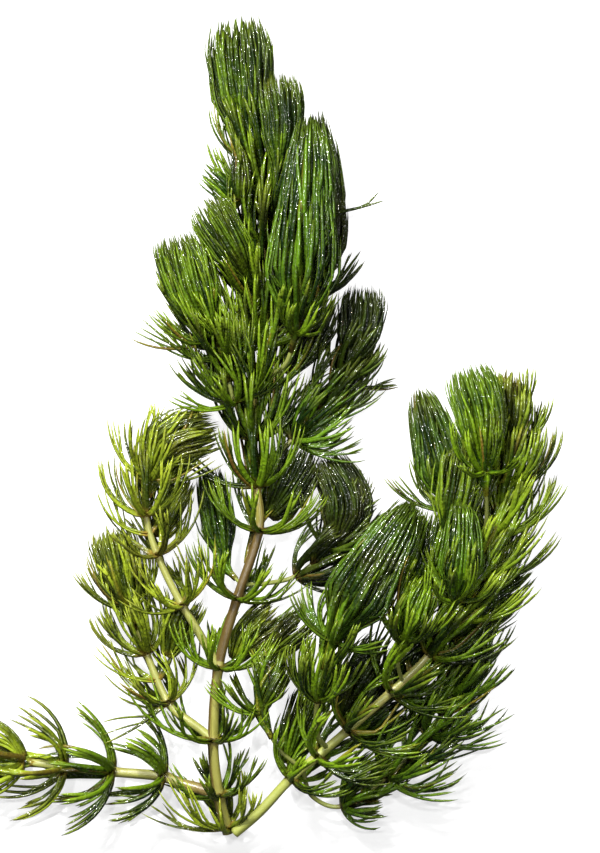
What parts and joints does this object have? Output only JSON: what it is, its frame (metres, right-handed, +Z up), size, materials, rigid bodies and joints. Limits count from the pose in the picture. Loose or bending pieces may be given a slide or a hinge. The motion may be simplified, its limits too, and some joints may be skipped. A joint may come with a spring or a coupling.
{
  "type": "hornwort",
  "caption": "Cut bunch of hornwort lying flat: branched round stems carry whorls of stiff forked leaves and end in dense brush-like growing tips.",
  "frame": {"origin": "under the middle of the bunch's extent, on the plane that its lowest leaves lie on", "axes": "+Y from the cut feet to the growing tips, +X to the right as seen from above, +Z up from the surface it lies on"},
  "size_m": [0.1605, 0.2074, 0.0475],
  "materials": {
    "stem_green": "damp, smooth, pale olive green",
    "stem_brown": "damp, smooth, olive brown",
    "leaf_green": "wet, glossy mid green",
    "young_green": "wet, glossy bright green",
    "dark_green": "wet, glossy dark green"
  },
  "bodies": {
    "root": {"shoot_back_flame": "dark_green", "shoot_cup": "leaf_green", "shoot_drooping": "leaf_green", "shoot_front_flame": "leaf_green", "shoot_glossy": "leaf_green", "shoot_left_back": "dark_green", "shoot_left_head": "leaf_green", "shoot_left_shoulder": "leaf_green", "shoot_low_fan": "leaf_green", "shoot_lower_right": "dark_green", "shoot_middle_left": "leaf_green", "shoot_right_back": "dark_green", "shoot_rounded": "leaf_green", "shoot_striped": "leaf_green", "shoot_tier": "leaf_green", "shoot_upper_right": "leaf_green", "stem_lower_left": "stem_green", "stem_main": "stem_brown", "stem_right": "stem_green", "stem_trailing": "stem_green", "stem_upper_left": "stem_green", "tip_lower_left": "young_green", "tip_main": "young_green", "tip_right": "young_green", "tip_trailing": "young_green", "tip_upper_left": "young_green", "whorl_lower_left_01": "leaf_green", "whorl_lower_left_02": "leaf_green", "whorl_lower_left_03": "leaf_green", "whorl_main_01": "leaf_green", "whorl_main_02": "leaf_green", "whorl_main_03": "leaf_green", "whorl_main_04": "leaf_green", "whorl_main_05": "leaf_green", "whorl_main_06": "leaf_green", "whorl_main_07": "leaf_green", "whorl_main_08": "leaf_green", "whorl_main_09": "leaf_green", "whorl_main_10": "leaf_green", "whorl_main_11": "leaf_green", "whorl_main_12": "leaf_green", "whorl_main_13": "leaf_green", "whorl_right_01": "leaf_green", "whorl_right_02": "leaf_green", "whorl_right_03": "leaf_green", "whorl_right_04": "leaf_green", "whorl_right_05": "leaf_green", "whorl_right_06": "leaf_green", "whorl_right_07": "leaf_green", "whorl_right_08": "leaf_green", "whorl_right_09": "leaf_green", "whorl_right_10": "leaf_green", "whorl_trailing_01": "leaf_green", "whorl_trailing_02": "leaf_green", "whorl_trailing_03": "leaf_green", "whorl_trailing_04": "leaf_green", "whorl_upper_left_01": "leaf_green", "whorl_upper_left_02": "leaf_green", "whorl_upper_left_03": "leaf_green", "whorl_upper_left_04": "leaf_green"}
  },
  "joints": []
}
